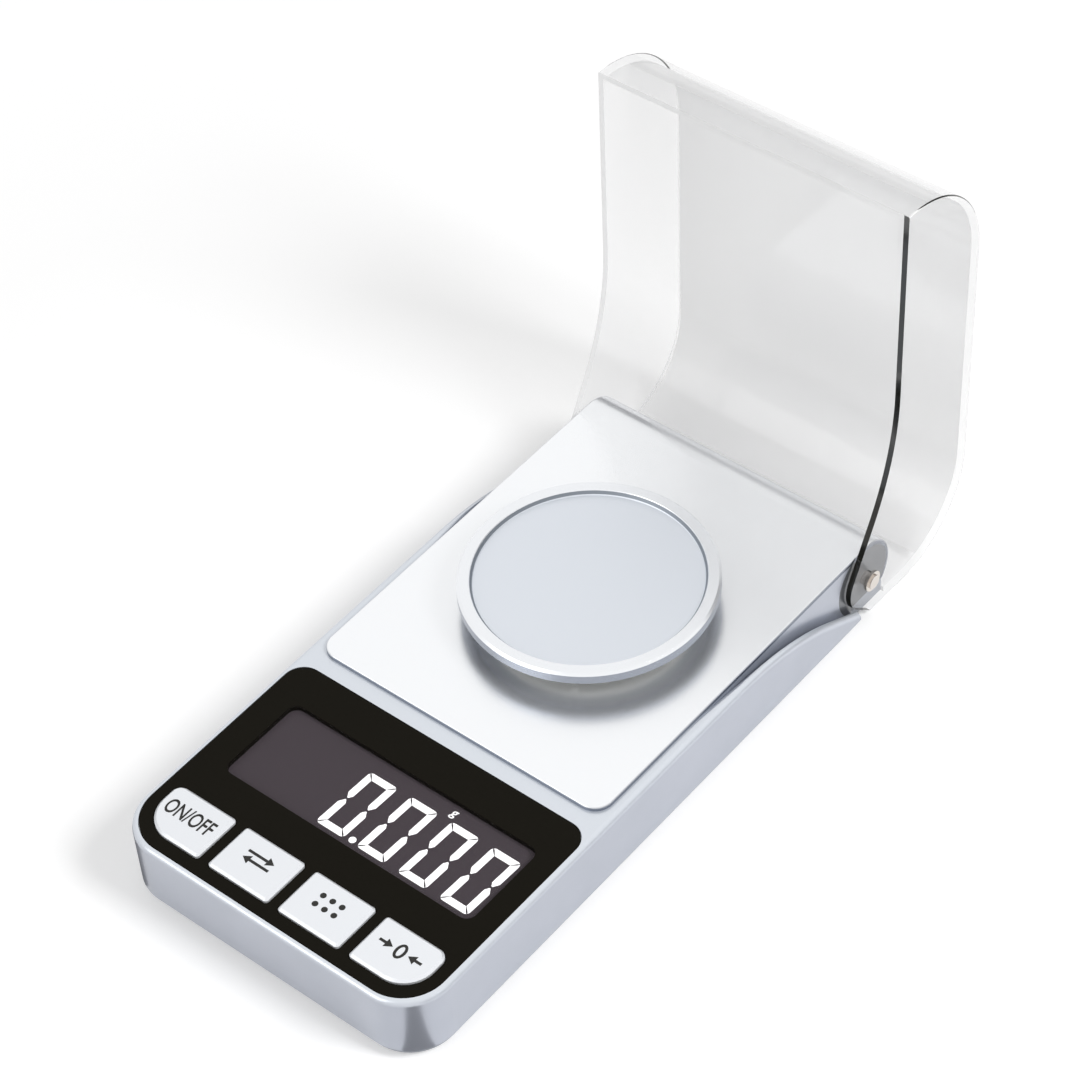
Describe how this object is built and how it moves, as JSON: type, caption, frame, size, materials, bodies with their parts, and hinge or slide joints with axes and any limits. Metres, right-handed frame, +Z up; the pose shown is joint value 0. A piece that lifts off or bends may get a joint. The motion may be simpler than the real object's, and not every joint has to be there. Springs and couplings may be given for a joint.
{
  "type": "precision scale",
  "caption": "Pocket precision scale: silver casing, black panel with readout and keys, bright platform with a round pan, and a clear lid hinged at the rear, standing open.",
  "frame": {"origin": "under the middle of the casing, on the plane that the rubber feet stand on", "axes": "+Z up, +Y from the keys to the hinge, +X to the right of someone who faces the keys"},
  "size_m": [0.062, 0.1447, 0.0807],
  "materials": {
    "silver_casing": "silver painted plastic, satin gloss",
    "platform_steel": "bright, nearly white plated sheet",
    "pan_steel": "fine satin floor, polished rim",
    "cover_plastic": "light grey moulded plastic",
    "panel_black": "gloss black sheet",
    "window_clear": "clear sheet",
    "readout_dark": "dark grey readout glass",
    "light_guide": "milky light guide",
    "key_silver": "silver keys",
    "switch_black": "black switch plastic",
    "lid_clear": "clear acrylic",
    "pin_chrome": "polished steel",
    "foot_rubber": "black rubber",
    "board_green": "green circuit board",
    "connector_rubber": "layered conductive rubber",
    "chip_black": "black epoxy",
    "cell_aluminium": "machined aluminium",
    "seal_white": "white silicone",
    "support_plastic": "off-white moulded plastic",
    "screw_steel": "zinc plated steel",
    "battery_wrap": "plain grey and black sleeve",
    "contact_nickel": "nickel plated spring steel",
    "lead_red": "red wire insulation",
    "lead_black": "black wire insulation",
    "wire_white": "white wire insulation"
  },
  "bodies": {
    "base": {"top_casing": "silver_casing", "platform_sheet": "platform_steel", "bottom_cover": "cover_plastic", "rubber_feet": "foot_rubber", "casing_screws": "screw_steel", "display_panel": "panel_black", "display_window": "window_clear", "readout_glass": "readout_dark", "backlight": "light_guide", "zebra_connector": "connector_rubber", "main_board": "board_green", "board_screws": "screw_steel", "circuit_chips": "chip_black", "key_switches": "switch_black", "load_cell": "cell_aluminium", "strain_gauge_seals": "seal_white", "load_cell_screws": "screw_steel", "overload_stop_screw": "screw_steel", "aaa_battery_front": "battery_wrap", "aaa_battery_rear": "battery_wrap", "contact_link": "contact_nickel", "contact_positive": "contact_nickel", "contact_negative": "contact_nickel", "contact_springs": "contact_nickel", "hinge_pins": "pin_chrome", "positive_lead": "lead_red", "negative_lead": "lead_black", "load_cell_wires": "wire_white"},
    "lid": {"clear_lid": "lid_clear"},
    "battery_door": {"battery_door": "cover_plastic"},
    "pan": {"weighing_pan": "pan_steel", "pan_support": "support_plastic", "pan_bracket": "cell_aluminium", "pan_bracket_screws": "screw_steel"},
    "key_on_off": {"key_on_off": "key_silver", "plunger_on_off": "switch_black"},
    "key_mode": {"key_mode": "key_silver", "plunger_mode": "switch_black"},
    "key_count": {"key_count": "key_silver", "plunger_count": "switch_black"},
    "key_tare": {"key_tare": "key_silver", "plunger_tare": "switch_black"}
  },
  "joints": [
    {"name": "lid_hinge", "type": "hinge", "parent": "base", "child": "lid", "pos_m": [0, 0.0546, 0.0083], "axis": [1, 0, 0], "range_deg": [0, 92.2]},
    {"name": "pan_sink", "type": "slide", "parent": "base", "child": "pan", "axis": [0, 0, -1], "range_m": [0, 0.00025], "stiffness_N_per_m": 5000, "deforming": ["load_cell"]},
    {"name": "battery_door_lift_off", "type": "slide", "parent": "base", "child": "battery_door", "axis": [0, 0, -1], "range_m": [0, 0.008]},
    {"name": "press_on_off", "type": "slide", "parent": "base", "child": "key_on_off", "axis": [0, 0, -1], "range_m": [0, 0.0004], "stiffness_N_per_m": 2500},
    {"name": "press_mode", "type": "slide", "parent": "base", "child": "key_mode", "axis": [0, 0, -1], "range_m": [0, 0.0004], "stiffness_N_per_m": 2500},
    {"name": "press_count", "type": "slide", "parent": "base", "child": "key_count", "axis": [0, 0, -1], "range_m": [0, 0.0004], "stiffness_N_per_m": 2500},
    {"name": "press_tare", "type": "slide", "parent": "base", "child": "key_tare", "axis": [0, 0, -1], "range_m": [0, 0.0004], "stiffness_N_per_m": 2500}
  ]
}
